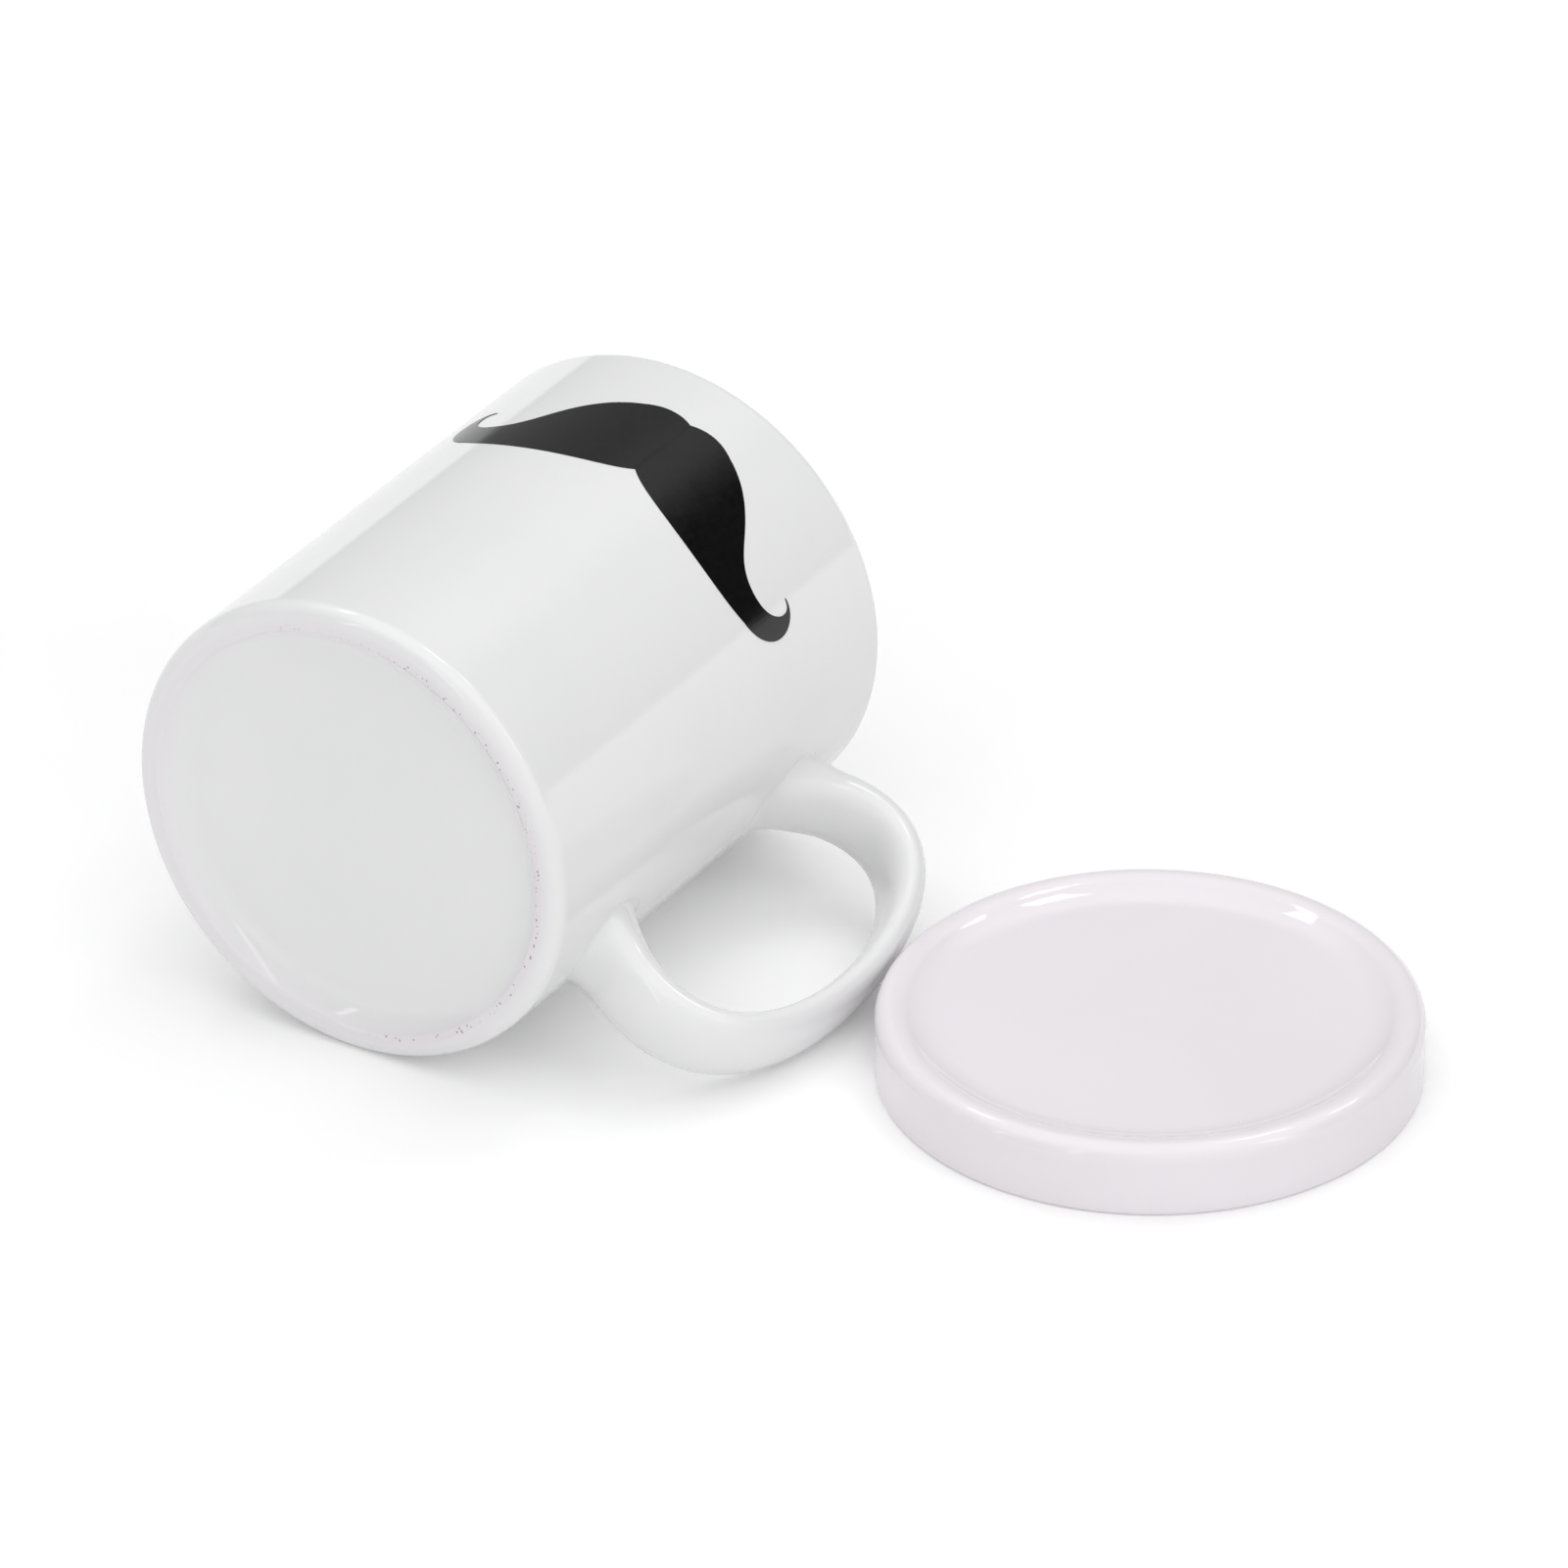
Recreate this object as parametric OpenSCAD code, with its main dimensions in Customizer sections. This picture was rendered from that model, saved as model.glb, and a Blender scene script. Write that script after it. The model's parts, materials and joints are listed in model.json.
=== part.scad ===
// Ceramic cup with a handlebar mustache on its wall and a loose cap lid.
// The cup lies on its side, propped on its handle, and the lid lies flat beside it.
// X runs along the cup's axis from foot to rim, Z is up, and the origin is under the middle of the set.

/* [Cup] */
// Outer diameter of the cup
cup_d = 80; // [74:1:90]
// Height of the cup from foot to rim
cup_h = 96; // [92:1:110]
// Thickness of the wall, which the rim rounds off fully
wall_t = 3.8; // [3:0.1:5]
// Thickness of the floor above the recess under the foot
floor_t = 5; // [4:0.1:7]
// Radius where the floor meets the inside of the wall
inner_fillet = 8; // [4:0.5:12]

/* [Foot] */
// Radius of the outer edge of the foot
foot_edge = 2.6; // [1:0.1:3.5]
// Width of the bare flat ring that the cup stands on
foot_ring_w = 1.3; // [0.8:0.1:3]
// Depth of the recess under the floor
foot_recess = 2.6; // [2:0.1:3.4]
// Radius of the foot ring's inner edge
foot_lip = 1; // [0.6:0.1:1.5]
// Radius of the hollow between the foot ring and the recess
foot_hollow = 7.5; // [2.5:0.1:9]

/* [Handle] */
// Distance from the wall to the middle of the grip
handle_reach = 31.8; // [28:0.2:36]
// Height of the grip's outermost point
grip_h = 45.5; // [42:0.5:52]
// How far the grip runs on before it bends
grip_pull = 21.1; // [17:0.1:24]
// Thickness of the strap at the grip
grip_t = 5.4; // [4.5:0.1:8]
// Width of the strap at the grip
grip_w = 13.4; // [11:0.1:18]
// Length of each flared root, from the wall to the strap's neck
root_len = 6; // [4:0.2:8]
// Spread of each flare round the wall, to either side of the strap
flare_side = 1.8; // [1:0.1:4]
// Height of the upper root on the wall
upper_root_h = 75.8; // [72:0.2:80]
// Rise of the upper arm where it leaves the wall, in degrees
upper_slope = 30; // [15:1:35]
// How far the upper arm runs on before it bends
upper_pull = 18.8; // [14:0.2:21]
// Thickness of the upper arm
upper_t = 8; // [5:0.1:9]
// Width of the upper arm
upper_w = 13.2; // [10:0.1:16]
// Spread of the upper flare along the wall, on the side of the finger gap
upper_flare_in = 8; // [3:0.1:9]
// Spread of the upper flare along the wall, on the outer side
upper_flare_out = 0.6; // [0.4:0.1:3]
// Height of the lower root on the wall
lower_root_h = 19.4; // [17:0.2:24]
// Drop of the lower arm where it leaves the wall, in degrees
lower_slope = 21; // [10:0.1:24]
// How far the lower arm runs on before it bends
lower_pull = 18; // [14:0.2:20]
// Thickness of the lower arm
lower_t = 8.6; // [5:0.1:10]
// Width of the lower arm
lower_w = 14.2; // [10:0.1:17]
// Spread of the lower flare along the wall, on the side of the finger gap
lower_flare_in = 4.8; // [2:0.1:7]
// Spread of the lower flare along the wall, on the outer side
lower_flare_out = 2.4; // [0.6:0.1:4]

/* [Mustache] */
// Span of the mustache along the wall
mustache_span = 73.6; // [50:0.2:84]
// Height of the mustache's centre above the foot
mustache_h = 72; // [60:0.5:76]
// Turn of the mustache's centre from the handle, about the cup's axis, in degrees
mustache_turn = 100.4; // [85:0.2:120]
// Thickness of the fired transfer
transfer_t = 0.1; // [0.05:0.01:0.3]

/* [Lid] */
// Height of the lid
lid_h = 12; // [10.5:0.1:16]
// Thickness of the skirt that goes over the rim
skirt_t = 3.2; // [2.6:0.1:5]
// Depth of the skirt under the plate
skirt_depth = 5.5; // [4:0.1:6]
// Play between the skirt and the cup's wall
lid_play = 0.55; // [0.3:0.05:1.2]
// Depth of the dished top
dish_depth = 2; // [1:0.1:2.6]
// Width of the slope from the dish's flat floor up to its crest
dish_slope_w = 7.5; // [6:0.1:12]
// Radius of the lid's top outer edge
lid_edge = 2.75; // [1.5:0.05:3.2]
// Radius of the crest's inner side
crest_r = 5; // [3:0.1:6]
// Radius where the skirt meets the plate
skirt_fillet = 1.2; // [0.5:0.1:2]
// Radius of the skirt's lower edges
skirt_edge = 0.8; // [0.4:0.1:1.2]
// Gap between the handle and the lid beside it, seen from above
lid_gap = 0.8; // [0.4:0.1:12]
// Bearing of the lid from the cup's axis beside the grip, towards the rim, in degrees
lid_bearing = 8.8; // [0:0.1:20]

/* [Hidden] */
$fn = 128;
// How far a cut runs on past the face it opens
run_out = 1;

// Points along an arc, the first left out where another arc ends there
arc_steps = 16;
function arc(centre, r, from, to, first = 0) =
    [for (i = [first : arc_steps])
        let (a = from + (to - from) * i / arc_steps)
        centre + r * [cos(a), sin(a)]];

// Cup
cup_r = cup_d / 2;
bore_r = cup_r - wall_t;
rim_r = wall_t / 2;
floor_top = foot_recess + floor_t;
ring_out_r = cup_r - foot_edge;
ring_in_r = ring_out_r - foot_ring_w;

// The foot ring's inner side is a convex lip and a concave hollow, tangent to each other
hollow_turn = acos(1 - foot_recess / (foot_lip + foot_hollow));
hollow_r = ring_in_r - (foot_lip + foot_hollow) * sin(hollow_turn);

// Profile of the cup, right of its axis: recess, foot ring, foot edge, rim and inside
cup_profile = concat(
    [[0, foot_recess]],
    arc([hollow_r, foot_recess - foot_hollow], foot_hollow, 90, 90 - hollow_turn),
    arc([ring_in_r, foot_lip], foot_lip, -90 - hollow_turn, -90, 1),
    arc([ring_out_r, foot_edge], foot_edge, -90, 0),
    arc([cup_r - rim_r, cup_h - rim_r], rim_r, 0, 180),
    arc([bore_r - inner_fillet, floor_top + inner_fillet], inner_fillet, 0, -90),
    [[0, floor_top]]);

// Strap: steps along each half, steps through each flare, sides round it, and its section's squareness
strap_steps = 14;
flare_steps = 5;
strap_sides = 28;
squareness = 2.3;
// Share of the flare's curve that is kept, which leaves its edge blunt
flare_end = 0.85;
// How full the flares are: 0 hugs the wall in a thin sheet, and 1 is a straight cone
flare_fill = 0.35;
// How fast the flares narrow away from the middle of each side of the strap
flare_taper = 1.3;
// Depth to which the roots run into the wall before they are trimmed to it
root_sink = 1;

neck_r = cup_r + root_len;
upper_dir = [cos(upper_slope), sin(upper_slope)];
lower_dir = [cos(lower_slope), -sin(lower_slope)];
upper_neck = [neck_r, upper_root_h + root_len * tan(upper_slope)];
lower_neck = [neck_r, lower_root_h - root_len * tan(lower_slope)];
grip = [cup_r + handle_reach, grip_h];
upper_arm = [upper_neck, upper_neck + upper_pull * upper_dir, grip + [0, grip_pull], grip];
lower_arm = [lower_neck, lower_neck + lower_pull * lower_dir, grip - [0, grip_pull], grip];

// Point and direction on a cubic curve
function bezier(c, t) =
    pow(1 - t, 3) * c[0] + 3 * t * pow(1 - t, 2) * c[1] + 3 * t * t * (1 - t) * c[2] + pow(t, 3) * c[3];
function bezier_dir(c, t) =
    let (d = pow(1 - t, 2) * (c[1] - c[0]) + 2 * t * (1 - t) * (c[2] - c[1]) + t * t * (c[3] - c[2]))
    d / norm(d);

// Half sizes of the strap's section along an arm, from the neck at t = 0 to the grip at t = 1
function ease(t) = 1 - pow(1 - t, 2);
function half_size(at_neck, at_grip, t) = (at_neck + (at_grip - at_neck) * ease(t)) / 2;

// Section as an oval: out lies in the handle's plane, and side is square to it
function signed_pow(v, p) = sign(v) * pow(abs(v), p);
function section_angle(k) = 360 * k / strap_sides;
function oval(half_t, half_w, k) =
    [half_t * signed_pow(cos(section_angle(k)), 2 / squareness),
     half_w * signed_pow(sin(section_angle(k)), 2 / squareness)];

// Ring of points round the strap at a place on its middle line, turn being -1 where t runs backwards
function strap_ring(arm, neck_t, neck_w, t, turn) =
    let (p = bezier(arm, t), d = turn * bezier_dir(arm, t),
         half_t = half_size(neck_t, grip_t, t), half_w = half_size(neck_w, grip_w, t))
    [for (k = [0 : strap_sides - 1])
        let (o = oval(half_t, half_w, k))
        [p[0] - d[1] * o[0], o[1], p[1] + d[0] * o[0]]];

// A place over the wall: its turn about the cup's axis, its height and its distance from the axis
function over_wall(p) = [atan2(p[1], p[0]), p[2], norm([p[0], p[1]])];
function from_wall(q) = [q[2] * cos(q[0]), q[2] * sin(q[0]), q[1]];
// Where a line from a neck point along the arm meets the wall
function on_wall(p, dir) =
    let (x = sqrt(cup_r * cup_r - p[1] * p[1]))
    over_wall([x, p[1], p[2] + (x - p[0]) * dir[1] / dir[0]]);
// How far the flare runs out over the wall from there, as a turn and a rise
function flare_spread(k, turn, spread_in, spread_out) =
    let (c = cos(section_angle(k)), s = sin(section_angle(k)))
    [signed_pow(s, flare_taper) * flare_side / cup_r * 180 / PI,
     turn * signed_pow(c, flare_taper) * (c > 0 ? spread_out : spread_in),
     0];
// Ring of the flare, u running from the neck at 0 to the wall at 1
function flare_ring(arm, dir, neck_t, neck_w, turn, spread_in, spread_out, u) =
    let (neck = strap_ring(arm, neck_t, neck_w, 0, turn))
    [for (k = [0 : strap_sides - 1])
        let (foot = on_wall(neck[k], dir), spread = flare_spread(k, turn, spread_in, spread_out))
        from_wall(pow(1 - u, 2) * over_wall(neck[k])
                  + 2 * u * (1 - u) * (foot + flare_fill * spread)
                  + u * u * (foot + spread))];
// Ring drawn in towards the axis, inside the wall
function sunk(ring) =
    [for (p = ring) let (f = (cup_r - root_sink) / norm([p[0], p[1]])) [p[0] * f, p[1] * f, p[2]]];

function flare_u(i) = flare_end * i / flare_steps;
function upper_flare(i) =
    flare_ring(upper_arm, upper_dir, upper_t, upper_w, 1, upper_flare_in, upper_flare_out, flare_u(i));
function lower_flare(i) =
    flare_ring(lower_arm, lower_dir, lower_t, lower_w, -1, lower_flare_in, lower_flare_out, flare_u(i));
handle_rings = concat(
    [sunk(upper_flare(flare_steps))],
    [for (i = [flare_steps : -1 : 1]) upper_flare(i)],
    [for (i = [0 : strap_steps]) strap_ring(upper_arm, upper_t, upper_w, i / strap_steps, 1)],
    [for (i = [strap_steps - 1 : -1 : 0]) strap_ring(lower_arm, lower_t, lower_w, i / strap_steps, -1)],
    [for (i = [1 : flare_steps]) lower_flare(i)],
    [sunk(lower_flare(flare_steps))]);
handle_points = [for (ring = handle_rings) each ring];

// Roll of the cup about its axis, at which its handle just touches the surface it lies on
function touch_roll(p) = asin(cup_r / norm([p[0], p[1]])) - atan2(abs(p[1]), p[0]);
handle_dip = min([for (p = handle_points) if (norm([p[0], p[1]]) > cup_r + root_len) touch_roll(p)]);

// Lid
skirt_r = cup_r + lid_play;
lid_r = skirt_r + skirt_t;
crest_at_r = lid_r - lid_edge;
// The dish's slope is a concave hollow and the crest's convex side, tangent to each other
dish_floor = lid_h - dish_depth;
dish_floor_r = crest_at_r - dish_slope_w;
dish_radii = (dish_slope_w * dish_slope_w + dish_depth * dish_depth) / (2 * dish_depth);
dish_hollow = dish_radii - crest_r;
dish_turn = asin(dish_slope_w / dish_radii);

// Profile of the lid, right of its axis: underside, skirt, outer edge, crest and dish
lid_profile = concat(
    [[0, skirt_depth]],
    arc([skirt_r - skirt_fillet, skirt_depth - skirt_fillet], skirt_fillet, 90, 0),
    arc([skirt_r + skirt_edge, skirt_edge], skirt_edge, 180, 270),
    arc([lid_r - skirt_edge, skirt_edge], skirt_edge, 270, 360),
    arc([crest_at_r, lid_h - lid_edge], lid_edge, 0, 90),
    arc([crest_at_r, lid_h - crest_r], crest_r, 90, 90 + dish_turn, 1),
    arc([dish_floor_r, dish_floor + dish_hollow], dish_hollow, dish_turn - 90, -90, 1),
    [[0, dish_floor]]);

// Places, seen from above the lying cup: the lid moves out along its bearing until it clears the handle,
// and the box of the set is centred on the origin
lid_start = [grip_h, 0];
lid_dir = [sin(lid_bearing), -cos(lid_bearing)];
function from_above(p) = [p[2], p[1] * sin(handle_dip) - p[0] * cos(handle_dip)];
function clear_of(p) =
    let (q = from_above(p) - lid_start)
    q * lid_dir + sqrt(max(0, pow(lid_r + lid_gap, 2) - pow(cross(q, lid_dir), 2)));
lid_at = lid_start + max([for (p = handle_points) clear_of(p)]) * lid_dir;
origin_x = (min(0, lid_at[0] - lid_r) + max(cup_h, lid_at[0] + lid_r)) / 2;
origin_y = (cup_r + lid_at[1] - lid_r) / 2;

// Half outline of the mustache from the notch over the hump, the curl and its tip to the cusp below.
// Cubic curves end to end: each row holds two pulls and an end, as distances from the centre.
mustache_start = [0, 10.5];
mustache_curves = [
    [[3, 12], [6, 11.5], [8.5, 10]],
    [[14, 7.5], [17, 4], [20.5, -0.5]],
    [[22.5, -3], [24.5, -5], [28, -5]],
    [[31.5, -5], [33.5, -3], [34, -1]],
    [[34.5, 2], [31.5, 1], [32, 1.5]],
    [[34.5, 2], [37, 0], [37, -3]],
    [[37, -6], [34.5, -9], [31, -10]],
    [[27.5, -11.5], [24, -12], [20, -12]],
    [[13.5, -12], [4, -10], [0, -6]]];
drawn_span = 2 * max([for (row = mustache_curves) row[2][0]]);
curve_steps = 8;
function curve_start(i) = i == 0 ? mustache_start : mustache_curves[i - 1][2];
half_mustache = mustache_span / drawn_span * [
    for (i = [0 : len(mustache_curves) - 1], s = [0 : curve_steps])
        if (s > 0 || i == 0) bezier(concat([curve_start(i)], mustache_curves[i]), s / curve_steps)];
// Flat width that a distance round the wall takes, seen square on
function flattened(p) = [cup_r * sin(p[0] / cup_r * 180 / PI), p[1]];

// Closed skin over a list of rings, each with the same number of points
module skin(rings) {
    n = len(rings[0]);
    last = len(rings) - 1;
    sides = [
        for (i = [0 : last - 1], k = [0 : n - 1])
            let (a = i * n + k, b = i * n + (k + 1) % n)
            each [[a, b, a + n], [b, b + n, a + n]]];
    first_cap = [for (k = [n - 1 : -1 : 0]) k];
    last_cap = [for (k = [0 : n - 1]) last * n + k];
    polyhedron([for (ring = rings) each ring], concat([first_cap], sides, [last_cap]));
}

// Lays the upright cup on its side, handle down
module lie_down() {
    translate([-origin_x, -origin_y, cup_r])
        rotate([handle_dip - 90, 0, 0])
            rotate([0, 90, 0])
                children();
}

module cup_body() {
    color("whitesmoke")
        lie_down()
            rotate_extrude() polygon(cup_profile);
}

module handle() {
    color("whitesmoke")
        lie_down()
            difference() {
                skin(handle_rings);
                cylinder(r = cup_r, h = cup_h);
            }
}

module mustache_decal() {
    right = [for (p = half_mustache) flattened(p)];
    left = [for (i = [len(right) - 2 : -1 : 1]) [-right[i][0], right[i][1]]];
    color("black")
        lie_down()
            intersection() {
                difference() {
                    cylinder(r = cup_r + transfer_t, h = cup_h);
                    translate([0, 0, -run_out]) cylinder(r = cup_r, h = cup_h + 2 * run_out);
                }
                rotate([0, 0, -mustache_turn])
                    translate([0, 0, mustache_h])
                        rotate([90, 0, 90])
                            linear_extrude(cup_d) polygon(concat(right, left));
            }
}

module lid() {
    color("lavenderblush")
        translate([lid_at[0] - origin_x, lid_at[1] - origin_y, 0])
            rotate_extrude() polygon(lid_profile);
}

cup_body();
handle();
mustache_decal();
lid();
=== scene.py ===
import json
import math

import bmesh
import bpy
from mathutils import Matrix, Vector


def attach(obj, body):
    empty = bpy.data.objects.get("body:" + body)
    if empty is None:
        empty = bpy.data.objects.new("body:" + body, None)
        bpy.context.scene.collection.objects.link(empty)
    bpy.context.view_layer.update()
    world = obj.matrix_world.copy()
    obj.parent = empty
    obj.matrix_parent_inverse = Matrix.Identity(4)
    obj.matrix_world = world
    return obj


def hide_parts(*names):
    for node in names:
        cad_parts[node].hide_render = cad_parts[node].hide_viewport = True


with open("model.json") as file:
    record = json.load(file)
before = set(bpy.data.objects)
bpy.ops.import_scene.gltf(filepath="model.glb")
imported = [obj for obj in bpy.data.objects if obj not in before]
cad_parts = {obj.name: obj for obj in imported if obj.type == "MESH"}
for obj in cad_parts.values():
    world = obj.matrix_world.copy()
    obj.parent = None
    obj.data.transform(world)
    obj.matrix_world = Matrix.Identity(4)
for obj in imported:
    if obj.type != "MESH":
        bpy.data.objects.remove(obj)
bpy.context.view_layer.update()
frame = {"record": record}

# Lengths below are in metres, written in millimetres times MM, and angles are in degrees
MM = 0.001

# Cup
CUP_R = 40 * MM
CUP_H = 96 * MM
WALL = 3.8 * MM
FLOOR_TOP = 7.6 * MM
INNER_FILLET = 8 * MM
FOOT_EDGE = 2.6 * MM
FOOT_RING_W = 1.3 * MM
FOOT_RECESS = 2.6 * MM
FOOT_LIP = 1 * MM
FOOT_HOLLOW = 7.5 * MM

# Handle
HANDLE_REACH = 31.8 * MM
GRIP_H = 45.5 * MM
GRIP_PULL = 21.1 * MM
GRIP_T = 5.4 * MM
GRIP_W = 13.4 * MM
ROOT_LEN = 6 * MM
FLARE_SIDE = 1.8 * MM
FLARE_FILL = 0.35
FLARE_TAPER = 1.3
ROOT_SINK = 0.6 * MM
SQUARENESS = 2.3
UPPER = {
    "root_h": 75.8 * MM, "slope": 30, "pull": 18.8 * MM, "t": 8 * MM, "w": 13.2 * MM,
    "flare_in": 8 * MM, "flare_out": 0.6 * MM,
}
LOWER = {
    "root_h": 19.4 * MM, "slope": -21, "pull": 18 * MM, "t": 8.6 * MM, "w": 14.2 * MM,
    "flare_in": 4.8 * MM, "flare_out": 2.4 * MM,
}

# Mustache: its right half as curves, in units that MUSTACHE_SPAN scales
MUSTACHE_SPAN = 73.6 * MM
MUSTACHE_H = 72 * MM
MUSTACHE_TURN = 100.4
TRANSFER_T = 0.1 * MM
TRANSFER_SINK = 0.05 * MM
TRANSFER_CREASE = 40
MUSTACHE_START = (0, 10.5)
MUSTACHE_CURVES = (
    ((3, 12), (6, 11.5), (8.5, 10)),
    ((14, 7.5), (17, 4), (20.5, -0.5)),
    ((22.5, -3), (24.5, -5), (28, -5)),
    ((31.5, -5), (33.5, -3), (34, -1)),
    ((34.5, 2), (31.5, 1), (32, 1.5)),
    ((34.5, 2), (37, 0), (37, -3)),
    ((37, -6), (34.5, -9), (31, -10)),
    ((27.5, -11.5), (24, -12), (20, -12)),
    ((13.5, -12), (4, -10), (0, -6)),
)

# Lid
LID_H = 12 * MM
SKIRT_R = 40.55 * MM
SKIRT_T = 3.2 * MM
SKIRT_DEPTH = 5.5 * MM
SKIRT_FILLET = 1.2 * MM
SKIRT_EDGE = 0.8 * MM
DISH_DEPTH = 2 * MM
DISH_SLOPE_W = 7.5 * MM
LID_EDGE = 2.75 * MM
CREST_R = 5 * MM

# Fineness of the meshes
ARC_STEPS = 20
LATHE_SIDES = 256
LATHE_SPAN = 2 * MM
LATHE_GUARD = 0.1 * MM
SAME_POINT = 0.0001 * MM
STRAP_STEPS = 48
STRAP_SIDES = 80
FLARE_STEPS = 20
CURVE_STEPS = 24
TRANSFER_STRIP = 0.8 * MM

# Noise and specks: the middle value of noise, the values between which most of it lies, and the
# share of a speck's radius that is solid
NOISE_MIDDLE = 0.5
NOISE_EDGES = (0.3, 0.7)
SPECK_CORE = 0.5

# Glaze: a faint change of tone and gloss, pinholes, a slow ripple and a fine peel
WHITE_PALE, WHITE_SHADE = (0.9, 0.901, 0.906, 1), (0.88, 0.882, 0.886, 1)
LID_PALE, LID_SHADE = (0.905, 0.863, 0.903, 1), (0.888, 0.845, 0.884, 1)
TONE, TONE_EDGES = {"scale": 22, "detail": 3}, (0.35, 0.65)
GLOSS, GLAZE_ROUGHNESS = {"scale": 160, "detail": 2}, (0.025, 0.045)
GLAZE_IOR = 1.52
RIPPLE, RIPPLE_H = {"scale": 38, "detail": 1}, 0.05 * MM
PEEL, PEEL_H = {"scale": 700, "detail": 2}, 0.002 * MM
PINHOLES = {"spacing": 9 * MM, "share": 0.12, "size": 0.25 * MM}
PINHOLE_COLOUR, PINHOLE_STRENGTH = (0.42, 0.38, 0.35, 1), 0.45
PINHOLE_DEPTH = 0.05 * MM

# Foot: the glaze is tinted towards the ring it stood on, and worn down in patches, more of them
# on the handle's side, to the gritty body
FOOT_TINT, FOOT_TINT_W = (0.89, 0.858, 0.895, 1), 3.2 * MM
WORN_BODY = (0.868, 0.828, 0.86, 1)
WORN_ROUGHNESS = 0.4
WORN_DEPTH = 0.03 * MM
WORN_W, WORN_SOFT = 0.5 * MM, 0.15 * MM
WORN_EDGE, WORN_RAGGED = {"scale": 420, "detail": 3, "roughness": 0.6}, 1.2 * MM
PATCHES, PATCH_EDGES = {"scale": 45, "detail": 1}, (0.48, 0.6)
PATCH_LEAN = 0.18
GRIT = {"spacing": 0.75 * MM, "share": 0.7, "size": 0.26 * MM}
GRIT_COLOUR, GRIT_STRENGTH = (0.3, 0.16, 0.13, 1), 0.75

# Ink of the transfer: a fine print grain and a few missed dots
INK_DARK, INK_LIGHT = (0.005, 0.005, 0.0055, 1), (0.008, 0.0075, 0.008, 1)
INK_GLOSS, INK_ROUGHNESS = {"scale": 240, "detail": 2}, (0.1, 0.15)
INK_IOR = 1.5
GRAIN, GRAIN_H = {"scale": 900, "detail": 2}, 0.003 * MM
MISSED = {"spacing": 7 * MM, "share": 0.1, "size": 0.16 * MM}
MISSED_COLOUR, MISSED_STRENGTH = (0.5, 0.45, 0.42, 1), 0.5

# Floor: paper, lifted to white where it is seen, that fades into the backdrop with distance
FLOOR_SIZE = 20
FLOOR_LIFT = 0.18
FLOOR_FADE = (0.25, 0.7)
BACKDROP = 1.0
PAPER = {"scale": 60, "detail": 3}
PAPER_DARK, PAPER_LIGHT = (0.89, 0.89, 0.89, 1), (0.91, 0.91, 0.91, 1)
PAPER_ROUGHNESS = 0.9

# World: a white backdrop at the horizon, and above it a tent of white cloth, bright on the
# camera's side, dimmer at the back, with a dark opening on one side of the back. Its turn and
# the gap's edge are angles off their bearings, and the other edges are heights.
BACKDROP_TOP = (2, 5)
TENT_FRONT, TENT_BACK = 1.01, 0.37
TENT_BEARING, TENT_TURN = 260, (90, 30)
GAP_LEVEL = 0.02
GAP_BEARING, GAP_TILT, GAP_EDGE = -44, 16, (44, 26)
TENT_TOP, TOP_EDGE = 1.24, (38, 56)
TENT_CROWN, CROWN_EDGE = 1.29, (60, 85)

# Strip lamps in the tent, whose levels compare with the tent's
STRIP_DISTANCE = 1.6
STRIPS = {
    "strip_left": {"bearing": 183, "tilt": 25, "width": 0.13, "height": 1.1, "level": 1.6},
    "strip_far_left": {"bearing": 150, "tilt": 24, "width": 0.06, "height": 0.7, "level": 2.6},
    "strip_side": {"bearing": 270, "tilt": 40, "width": 0.2, "height": 0.6, "level": 2.1},
    "strip_rim": {"bearing": -27, "tilt": 50, "width": 0.25, "height": 0.2, "level": 3.5},
    "strip_far": {"bearing": -13, "tilt": 66, "width": 0.3, "height": 0.25, "level": 4},
    "strip_back": {"bearing": 75, "tilt": 59, "width": 0.35, "height": 0.15, "level": 4},
}

# Camera at the photograph's viewing angle
CAMERA_AIM = Vector((53.5 * MM, 42.6 * MM, 0))
CAMERA_BEARING, CAMERA_TILT = 32.11, 30.84
CAMERA_DISTANCE = 2.905
CAMERA_LENS = 409.43

# Places, from the record's mounts: the cup's axis, its foot plane and the lid's centre
mounts = {mount["name"]: Vector(mount["pos_m"]) for mount in frame["record"]["mounts"]}
foot_centre = Vector((mounts["foot_ring"].x, mounts["mouth"].y, mounts["mouth"].z))
lid_centre = Vector((mounts["dish_floor"].x, mounts["dish_floor"].y, 0))


def unit(degrees):
    return Vector((math.cos(math.radians(degrees)), math.sin(math.radians(degrees))))


def pointing(bearing, tilt):
    """Direction from the object, by its bearing from +X and its height."""
    level = unit(bearing) * math.cos(math.radians(tilt))
    return Vector((*level, math.sin(math.radians(tilt))))


def on_wall(radius, turn, height):
    """Point of the upright cup, by its distance from the axis, its turn in radians and height."""
    return Vector((radius * math.cos(turn), radius * math.sin(turn), height))


def arc(centre, radius, start, end):
    """Points along an arc of a profile, from one angle to another."""
    turns = [start + (end - start) * i / ARC_STEPS for i in range(ARC_STEPS + 1)]
    return [Vector(centre) + radius * unit(turn) for turn in turns]


def bezier(points, t):
    a, b, c, d = points
    s = 1 - t
    return s**3 * a + 3 * s * s * t * b + 3 * s * t * t * c + t**3 * d


def bezier_direction(points, t):
    a, b, c, d = points
    s = 1 - t
    return (s * s * (b - a) + 2 * s * t * (c - b) + t * t * (d - c)).normalized()


def signed_pow(value, power):
    return math.copysign(abs(value) ** power, value)


def add_object(name, data):
    thing = bpy.data.objects.new(name, data)
    bpy.context.scene.collection.objects.link(thing)
    return thing


def face(thing, direction):
    """Turns a lamp or camera to look in a direction, upright."""
    thing.rotation_mode = "QUATERNION"
    thing.rotation_quaternion = direction.to_track_quat("-Z", "Y")


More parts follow.
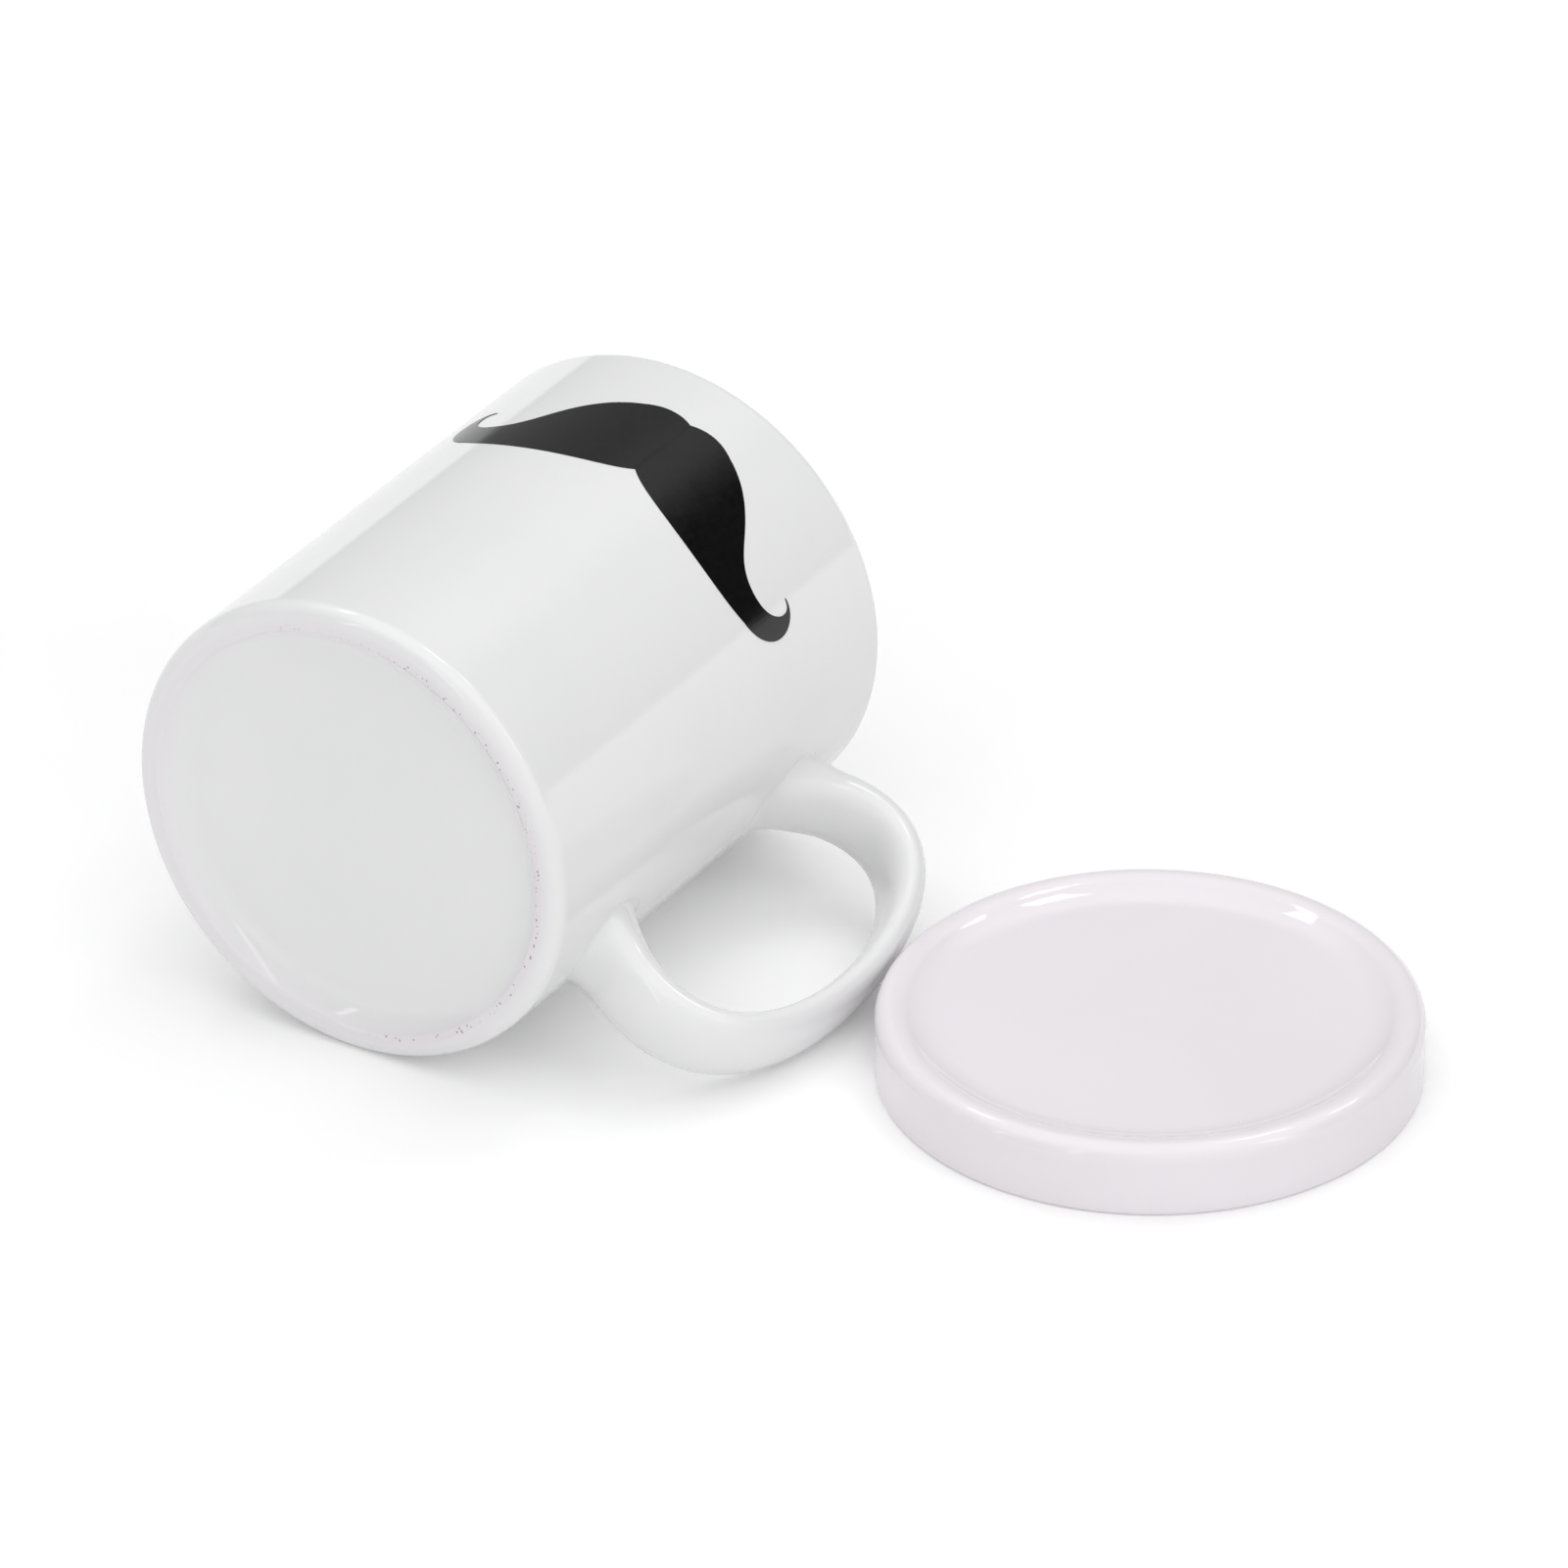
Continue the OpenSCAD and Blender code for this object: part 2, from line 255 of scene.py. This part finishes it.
def new_piece(name, vertices, faces, place, material):
    """A smooth-shaded mesh whose vertices are put straight into the frame."""
    mesh = bpy.data.meshes.new(name)
    mesh.from_pydata([place @ Vector(v) for v in vertices], [], faces)
    mesh.shade_smooth()
    mesh.materials.append(material)
    return add_object(name, mesh)


def refined(profile):
    """The profile without doubled points, its long straight stretches cut up.

    Points close to both ends of a stretch keep the smooth shading of the arcs off it.
    """
    points = [profile[0]]
    for point in profile[1:]:
        length = (point - points[-1]).length
        if length < SAME_POINT:
            continue
        cuts = math.ceil(length / LATHE_SPAN)
        shares = [(i + 1) / cuts for i in range(cuts)]
        if cuts > 1:
            guard = LATHE_GUARD / length
            shares = [guard, *shares[:-1], 1 - guard, 1]
        start = points[-1]
        points += [start.lerp(point, share) for share in shares]
    return points


def lathe(name, profile, place, material):
    """A closed solid of revolution about Z. The profile starts and ends on the axis."""
    points = refined(profile)
    inner = points[1:-1]
    turns = [unit(360 * k / LATHE_SIDES) for k in range(LATHE_SIDES)]
    vertices = [(p.x * turn.x, p.x * turn.y, p.y) for p in inner for turn in turns]
    first, last = len(vertices), len(vertices) + 1
    vertices += [(0, 0, points[0].y), (0, 0, points[-1].y)]
    faces = []
    end = (len(inner) - 1) * LATHE_SIDES
    for k in range(LATHE_SIDES):
        after = (k + 1) % LATHE_SIDES
        faces.append((first, after, k))
        faces.append((last, end + k, end + after))
        for row in range(0, end, LATHE_SIDES):
            above = row + LATHE_SIDES
            faces.append((row + k, row + after, above + after, above + k))
    return new_piece(name, vertices, faces, place, material)


def cup_profile():
    """Recess, foot ring, foot edge, rim and inside, as radius and height."""
    bore_r = CUP_R - WALL
    rim_r = WALL / 2
    ring_out_r = CUP_R - FOOT_EDGE
    ring_in_r = ring_out_r - FOOT_RING_W
    radii = FOOT_LIP + FOOT_HOLLOW
    turn = math.degrees(math.acos(1 - FOOT_RECESS / radii))
    hollow_r = ring_in_r - radii * math.sin(math.radians(turn))
    return [
        Vector((0, FOOT_RECESS)),
        *arc((hollow_r, FOOT_RECESS - FOOT_HOLLOW), FOOT_HOLLOW, 90, 90 - turn),
        *arc((ring_in_r, FOOT_LIP), FOOT_LIP, -90 - turn, -90),
        *arc((ring_out_r, FOOT_EDGE), FOOT_EDGE, -90, 0),
        *arc((CUP_R - rim_r, CUP_H - rim_r), rim_r, 0, 180),
        *arc((bore_r - INNER_FILLET, FLOOR_TOP + INNER_FILLET), INNER_FILLET, 0, -90),
        Vector((0, FLOOR_TOP)),
    ]


def lid_profile():
    """Underside, skirt, outer edge, crest and dish, as radius and height."""
    lid_r = SKIRT_R + SKIRT_T
    crest_at = lid_r - LID_EDGE
    dish_floor = LID_H - DISH_DEPTH
    radii = (DISH_SLOPE_W**2 + DISH_DEPTH**2) / (2 * DISH_DEPTH)
    hollow = radii - CREST_R
    turn = math.degrees(math.asin(DISH_SLOPE_W / radii))
    return [
        Vector((0, SKIRT_DEPTH)),
        *arc((SKIRT_R - SKIRT_FILLET, SKIRT_DEPTH - SKIRT_FILLET), SKIRT_FILLET, 90, 0),
        *arc((SKIRT_R + SKIRT_EDGE, SKIRT_EDGE), SKIRT_EDGE, 180, 270),
        *arc((lid_r - SKIRT_EDGE, SKIRT_EDGE), SKIRT_EDGE, 270, 360),
        *arc((crest_at, LID_H - LID_EDGE), LID_EDGE, 0, 90),
        *arc((crest_at, LID_H - CREST_R), CREST_R, 90, 90 + turn),
        *arc((crest_at - DISH_SLOPE_W, dish_floor + hollow), hollow, turn - 90, -90),
        Vector((0, dish_floor)),
    ]


SECTION = [unit(360 * k / STRAP_SIDES) for k in range(STRAP_SIDES)]
GRIP = Vector((CUP_R + HANDLE_REACH, GRIP_H))


def arm_curve(arm):
    """Middle line of half the handle, from its neck to the grip, as radius and height."""
    direction = unit(arm["slope"])
    neck_r = CUP_R + ROOT_LEN
    neck = Vector((neck_r, arm["root_h"] + ROOT_LEN * direction.y / direction.x))
    grip_end = GRIP + Vector((0, math.copysign(GRIP_PULL, arm["slope"])))
    return (neck, neck + arm["pull"] * direction, grip_end, GRIP)


def strap_ring(arm, t):
    """Points round the strap, an oval whose size runs from the neck's to the grip's."""
    curve = arm_curve(arm)
    middle = bezier(curve, t)
    along = math.copysign(1, arm["slope"]) * bezier_direction(curve, t)
    eased = 1 - (1 - t) ** 2
    half_t = (arm["t"] + (GRIP_T - arm["t"]) * eased) / 2
    half_w = (arm["w"] + (GRIP_W - arm["w"]) * eased) / 2
    ring = []
    for s in SECTION:
        out = half_t * signed_pow(s.x, 2 / SQUARENESS)
        side = half_w * signed_pow(s.y, 2 / SQUARENESS)
        ring.append(Vector((middle.x - along.y * out, side, middle.y + along.x * out)))
    return ring


def flare_ring(arm, u):
    """Points round a root, from the neck at 0 out to the wall, which it joins smoothly, at 1."""
    direction = unit(arm["slope"])
    up = math.copysign(1, arm["slope"])
    weights = ((1 - u) ** 2, 2 * u * (1 - u), u * u)
    ring = []
    for s, neck in zip(SECTION, strap_ring(arm, 0)):
        wall_x = math.sqrt(CUP_R**2 - neck.y**2)
        foot_h = neck.z + (wall_x - neck.x) * direction.y / direction.x
        foot_turn = math.asin(neck.y / CUP_R)
        flare = arm["flare_out" if s.x > 0 else "flare_in"]
        rise = up * signed_pow(s.x, FLARE_TAPER) * flare
        around = signed_pow(s.y, FLARE_TAPER) * FLARE_SIDE / CUP_R
        neck_turn = math.atan2(neck.y, neck.x)
        turns = (neck_turn, foot_turn + FLARE_FILL * around, foot_turn + around)
        heights = (neck.z, foot_h + FLARE_FILL * rise, foot_h + rise)
        radii = (math.hypot(neck.x, neck.y), CUP_R, CUP_R)
        ring.append(on_wall(*(
            sum(w * v for w, v in zip(weights, values)) for values in (radii, turns, heights)
        )))
    return ring


def sunk(ring):
    """The ring drawn in towards the cup's axis, under the glaze of the wall."""
    share = (CUP_R - ROOT_SINK) / CUP_R
    return [Vector((p.x * share, p.y * share, p.z)) for p in ring]


def handle_rings():
    """All rings of the handle, from the upper root round to the lower one."""
    upper_root = [flare_ring(UPPER, i / FLARE_STEPS) for i in range(FLARE_STEPS, 0, -1)]
    upper_half = [strap_ring(UPPER, i / STRAP_STEPS) for i in range(STRAP_STEPS)]
    lower_half = [strap_ring(LOWER, i / STRAP_STEPS) for i in range(STRAP_STEPS, -1, -1)]
    lower_root = [flare_ring(LOWER, i / FLARE_STEPS) for i in range(1, FLARE_STEPS + 1)]
    return [
        sunk(upper_root[0]), *upper_root, *upper_half,
        *lower_half, *lower_root, sunk(lower_root[-1]),
    ]


def touch_roll(point):
    """Roll about the cup's axis at which a point of the handle touches the floor."""
    off_axis = math.hypot(point.x, point.y)
    return math.asin(CUP_R / off_axis) - math.atan2(abs(point.y), point.x)


def lying(rings):
    """Place of the upright cup, laid on its side and rolled until its handle meets the floor."""
    points = [p for ring in rings for p in ring]
    outer = [p for p in points if math.hypot(p.x, p.y) > CUP_R + ROOT_LEN]
    dip = min(touch_roll(p) for p in outer)
    c, s = math.cos(dip), math.sin(dip)
    turn = Matrix(((0, 0, 1), (-c, s, 0), (-s, -c, 0)))
    return Matrix.Translation(foot_centre) @ turn.to_4x4()


def strap_handle(name, rings, place, material):
    """The rings joined by a skin, with a flat face at each end."""
    vertices = [p for ring in rings for p in ring]
    last = (len(rings) - 1) * STRAP_SIDES
    faces = [tuple(range(STRAP_SIDES)), tuple(range(last + STRAP_SIDES - 1, last - 1, -1))]
    for row in range(0, last, STRAP_SIDES):
        above = row + STRAP_SIDES
        for k in range(STRAP_SIDES):
            after = (k + 1) % STRAP_SIDES
            faces.append((row + k, above + k, above + after, row + after))
    return new_piece(name, vertices, faces, place, material)


def mustache_outline():
    """Closed outline, as distance round the wall and height from the mustache's centre."""
    scale = MUSTACHE_SPAN / (2 * max(end[0] for _, _, end in MUSTACHE_CURVES))
    half = [Vector(MUSTACHE_START)]
    for curve in MUSTACHE_CURVES:
        points = [half[-1], *(Vector(p) for p in curve)]
        half += [bezier(points, (i + 1) / CURVE_STEPS) for i in range(CURVE_STEPS)]
    mirrored = [Vector((-p.x, p.y)) for p in reversed(half[1:-1])]
    return [scale * p for p in half + mirrored]


def fixed_order(parts, spot):
    """Sorts mesh parts by where they lie, because an extrusion adds them in no fixed order."""
    ordered = sorted(parts, key=lambda part: tuple(spot(part)))
    ranks = {part: rank for rank, part in enumerate(ordered)}
    parts.sort(key=ranks.get)


def mustache_transfer(name, place, material):
    """A thin sheet wrapped on the wall: cut in strips while flat, so that it bends smoothly."""
    sheet = bmesh.new()
    outline = [sheet.verts.new((p.x, p.y, 0)) for p in mustache_outline()]
    sheet.faces.new(outline)
    strips = int(MUSTACHE_SPAN / TRANSFER_STRIP)
    for i in range(1, strips):
        bmesh.ops.bisect_plane(
            sheet,
            geom=[*sheet.verts, *sheet.edges, *sheet.faces],
            plane_co=(MUSTACHE_SPAN * (i / strips - 0.5), 0, 0),
            plane_no=(1, 0, 0),
        )
    top = bmesh.ops.extrude_face_region(sheet, geom=list(sheet.faces))["geom"]
    raised = {v for v in top if isinstance(v, bmesh.types.BMVert)}
    for v in sheet.verts:
        turn = v.co.x / CUP_R - math.radians(MUSTACHE_TURN)
        radius = CUP_R + (TRANSFER_T if v in raised else -TRANSFER_SINK)
        v.co = place @ on_wall(radius, turn, MUSTACHE_H + v.co.y)
    bmesh.ops.recalc_face_normals(sheet, faces=sheet.faces)
    fixed_order(sheet.verts, lambda v: v.co)
    fixed_order(sheet.faces, lambda f: f.calc_center_median())
    piece = new_piece(name, [], [], place, material)
    sheet.to_mesh(piece.data)
    sheet.free()
    piece.data.shade_smooth()
    piece.data.set_sharp_from_angle(angle=math.radians(TRANSFER_CREASE))
    return piece


class Graph:
    """The nodes of a material or world, and a short way to add to them."""

    def __init__(self, owner):
        owner.use_nodes = True
        self.owner = owner
        self.tree = owner.node_tree

    def plug(self, socket, value):
        if isinstance(value, bpy.types.NodeSocket):
            self.tree.links.new(value, socket)
        else:
            socket.default_value = value

    def node(self, kind, inputs, **settings):
        node = self.tree.nodes.new(kind)
        for key, value in settings.items():
            setattr(node, key, value)
        for key, value in inputs.items():
            self.plug(node.inputs[key], value)
        return node

    def add(self, kind, inputs, output=0, **settings):
        return self.node(kind, inputs, **settings).outputs[output]

    def place(self):
        """Object coordinates, which are the frame's."""
        return self.add("ShaderNodeTexCoord", {}, output="Object")

    def math(self, operation, a, b=0.0):
        return self.add("ShaderNodeMath", {0: a, 1: b}, operation=operation)

    def ramp(self, value, low, high, to_low=0.0, to_high=1.0):
        inputs = {
            "Value": value, "From Min": low, "From Max": high,
            "To Min": to_low, "To Max": to_high,
        }
        return self.add("ShaderNodeMapRange", inputs, interpolation_type="SMOOTHSTEP")

    def noise(self, scale, detail, roughness=0.5):
        inputs = {"Scale": scale, "Detail": detail, "Roughness": roughness}
        return self.add("ShaderNodeTexNoise", {"Vector": self.place(), **inputs})

    def mix(self, share, a, b):
        """One colour turning into another. The colour sockets of this node go by number."""
        return self.add("ShaderNodeMix", {0: share, 6: a, 7: b}, output=2, data_type="RGBA")

    def specks(self, spacing, share, size):
        """Scattered round dots: cells a spacing wide, a share of them with a dot of some size."""
        inputs = {"Vector": self.place(), "Scale": 1 / spacing}
        cell = self.node("ShaderNodeTexVoronoi", inputs).outputs
        radius = size / spacing
        near = self.ramp(cell["Distance"], radius, SPECK_CORE * radius)
        draw = self.add("ShaderNodeSeparateColor", {0: cell["Color"]})
        return self.math("MULTIPLY", near, self.math("LESS_THAN", draw, share))

    def bump(self, height, distance, normal=None):
        inputs = {"Height": height, "Distance": distance, "Strength": 1.0}
        if normal is not None:
            inputs["Normal"] = normal
        return self.add("ShaderNodeBump", inputs)

    def finish(self, **inputs):
        """Plugs the values into the material's own shader."""
        shader = self.tree.nodes["Principled BSDF"]
        for key, value in inputs.items():
            self.plug(shader.inputs[key.replace("_", " ")], value)
        return self.owner


def glaze(name, pale, shade, foot=None):
    """Glossy white glaze. A foot gives the distance from the standing ring, by which the glaze
    is tinted and worn, and the side on which it is worn most."""
    g = Graph(bpy.data.materials.new(name))
    colour = g.mix(g.ramp(g.noise(**TONE), *TONE_EDGES), pale, shade)
    pinholes = g.specks(**PINHOLES)
    colour = g.mix(g.math("MULTIPLY", pinholes, PINHOLE_STRENGTH), colour, PINHOLE_COLOUR)
    roughness = g.ramp(g.noise(**GLOSS), *NOISE_EDGES, *GLAZE_ROUGHNESS)
    ripple = g.bump(g.noise(**RIPPLE), RIPPLE_H)
    peel = g.bump(g.noise(**PEEL), PEEL_H, ripple)
    normal = g.bump(pinholes, -PINHOLE_DEPTH, peel)
    if foot is not None:
        off_ring, handle_side = foot(g)
        colour = g.mix(g.ramp(off_ring, FOOT_TINT_W, 0), colour, FOOT_TINT)
        wander = g.math("SUBTRACT", g.noise(**WORN_EDGE), NOISE_MIDDLE)
        edge = g.math("ADD", off_ring, g.math("MULTIPLY", wander, WORN_RAGGED))
        worn = g.ramp(edge, WORN_W + WORN_SOFT, WORN_W - WORN_SOFT)
        lean = g.math("MULTIPLY", handle_side, PATCH_LEAN)
        patches = g.ramp(g.math("ADD", g.noise(**PATCHES), lean), *PATCH_EDGES)
        worn = g.math("MULTIPLY", worn, patches)
        colour = g.mix(worn, colour, WORN_BODY)
        grit = g.math("MULTIPLY", g.specks(**GRIT), worn)
        colour = g.mix(g.math("MULTIPLY", grit, GRIT_STRENGTH), colour, GRIT_COLOUR)
        roughness = g.ramp(worn, 0, 1, roughness, WORN_ROUGHNESS)
        normal = g.bump(worn, -WORN_DEPTH, normal)
    return g.finish(Base_Color=colour, Roughness=roughness, Normal=normal, IOR=GLAZE_IOR)


def off_foot_ring(g):
    """Distance from the inner edge of the ring that the cup stood on in the kiln, and how far
    to the handle's side a point lies, from -1 to 1."""
    ring_in_r = CUP_R - FOOT_EDGE - FOOT_RING_W
    vector_math = "ShaderNodeVectorMath"
    from_foot = g.add(vector_math, {0: g.place(), 1: foot_centre}, operation="SUBTRACT")
    across = g.add(vector_math, {0: from_foot, 1: (0, 1, 1)}, operation="MULTIPLY")
    radius = g.add(vector_math, {0: across}, output="Value", operation="LENGTH")
    parts = g.node("ShaderNodeSeparateXYZ", {0: from_foot}).outputs
    off_circle = g.math("SUBTRACT", radius, ring_in_r)
    squares = [g.math("MULTIPLY", value, value) for value in (off_circle, parts["X"])]
    return g.math("SQRT", g.math("ADD", *squares)), g.math("DIVIDE", parts["Y"], -CUP_R)


def black_transfer():
    """Black ceramic ink under its own thin gloss, with a fine print grain."""
    g = Graph(bpy.data.materials.new("black_transfer"))
    colour = g.mix(g.ramp(g.noise(**GRAIN), *NOISE_EDGES), INK_DARK, INK_LIGHT)
    missed = g.specks(**MISSED)
    colour = g.mix(g.math("MULTIPLY", missed, MISSED_STRENGTH), colour, MISSED_COLOUR)
    roughness = g.ramp(g.noise(**INK_GLOSS), *NOISE_EDGES, *INK_ROUGHNESS)
    normal = g.bump(g.noise(**GRAIN), GRAIN_H, g.bump(g.noise(**RIPPLE), RIPPLE_H))
    return g.finish(Base_Color=colour, Roughness=roughness, Normal=normal, IOR=INK_IOR)


def floor_paper():
    """Pale paper that keeps shadows near the object and runs out into the white backdrop."""
    g = Graph(bpy.data.materials.new("floor_paper"))
    paper = g.mix(g.noise(**PAPER), PAPER_DARK, PAPER_LIGHT)
    g.finish(Base_Color=paper, Roughness=PAPER_ROUGHNESS)
    plain = g.tree.nodes["Principled BSDF"].outputs[0]
    path = g.node("ShaderNodeLightPath", {}).outputs
    seen = g.math("MAXIMUM", path["Is Glossy Ray"], path["Is Transmission Ray"])
    seen = g.math("MAXIMUM", path["Is Camera Ray"], seen)
    lift = g.add("ShaderNodeEmission", {"Strength": g.math("MULTIPLY", seen, FLOOR_LIFT)})
    near = g.add("ShaderNodeAddShader", {0: plain, 1: lift})
    away = g.add("ShaderNodeVectorMath", {0: g.place()}, output="Value", operation="LENGTH")
    far_share = g.math("MULTIPLY", seen, g.ramp(away, *FLOOR_FADE))
    backdrop = g.add("ShaderNodeEmission", {"Strength": BACKDROP})
    whole = g.add("ShaderNodeMixShader", {0: far_share, 1: near, 2: backdrop})
    g.plug(g.tree.nodes["Material Output"].inputs["Surface"], whole)
    return g.owner


def studio_world():
    """The tent and the backdrop, as a strength that changes with direction."""
    g = Graph(bpy.data.worlds.new("studio"))
    ray = g.add("ShaderNodeTexCoord", {}, output="Generated")

    def towards(axis, angles, away, near):
        """From one level to another, as a ray turns from one angle off an axis to the next."""
        inputs = {0: ray, 1: axis}
        share = g.add("ShaderNodeVectorMath", inputs, output="Value", operation="DOT_PRODUCT")
        low, high = (math.cos(math.radians(angle)) for angle in angles)
        return g.ramp(share, low, high, away, near)

    def above(edge, below, level):
        """A level over a height that starts and ends at two angles, on top of what lies below."""
        return towards((0, 0, 1), [90 - angle for angle in edge], below, level)

    sides = towards(pointing(TENT_BEARING, 0), TENT_TURN, TENT_BACK, TENT_FRONT)
    opened = towards(pointing(GAP_BEARING, GAP_TILT), GAP_EDGE, sides, GAP_LEVEL)
    roofed = above(CROWN_EDGE, above(TOP_EDGE, opened, TENT_TOP), TENT_CROWN)
    background = g.tree.nodes["Background"]
    g.plug(background.inputs["Color"], (1, 1, 1, 1))
    g.plug(background.inputs["Strength"], above(BACKDROP_TOP, BACKDROP, roofed))
    return g.owner


def strip(name, bearing, tilt, width, height, level):
    """An upright lamp that faces the object and glints on its glaze."""
    lamp = bpy.data.lights.new(name, "AREA")
    lamp.shape = "RECTANGLE"
    lamp.size, lamp.size_y = width, height
    lamp.energy = level * math.pi * width * height
    light = add_object(name, lamp)
    away = pointing(bearing, tilt)
    light.location = away * STRIP_DISTANCE
    face(light, -away)
    light.visible_camera = False


white_glaze = glaze("white_glaze", WHITE_PALE, WHITE_SHADE, off_foot_ring)
lid_glaze = glaze("lid_glaze", LID_PALE, LID_SHADE)
transfer = black_transfer()

# Pieces
rings = handle_rings()
cup_place = lying(rings)
cup_shell = lathe("cup_shell", cup_profile(), cup_place, white_glaze)
cup_handle = strap_handle("strap_handle", rings, cup_place, white_glaze)
mustache = mustache_transfer("mustache_transfer", cup_place, transfer)
cap_lid = lathe("cap_lid", lid_profile(), Matrix.Translation(lid_centre), lid_glaze)

for piece, node, body, slot in (
    (cup_shell, "cup_body", "cup", "white_glaze"),
    (cup_handle, "handle", "cup", "white_glaze"),
    (mustache, "mustache_decal", "cup", "black_transfer"),
    (cap_lid, "lid", "lid", "lid_glaze"),
):
    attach(piece, body)
    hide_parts(node)

# Stage
half = FLOOR_SIZE / 2
corners = [(-half, -half, 0), (half, -half, 0), (half, half, 0), (-half, half, 0)]
floor_mesh = bpy.data.meshes.new("floor")
floor_mesh.from_pydata(corners, [], [(0, 1, 2, 3)])
floor_mesh.materials.append(floor_paper())
floor = add_object("floor", floor_mesh)

bpy.context.scene.world = studio_world()
for name, values in STRIPS.items():
    strip(name, **values)

camera_data = bpy.data.cameras.new("camera")
camera_data.lens = CAMERA_LENS
camera = add_object("camera", camera_data)
forward = pointing(CAMERA_BEARING, -CAMERA_TILT)
camera.location = CAMERA_AIM - CAMERA_DISTANCE * forward
face(camera, forward)
bpy.context.scene.camera = camera

bpy.context.scene.view_settings.view_transform = "Standard"
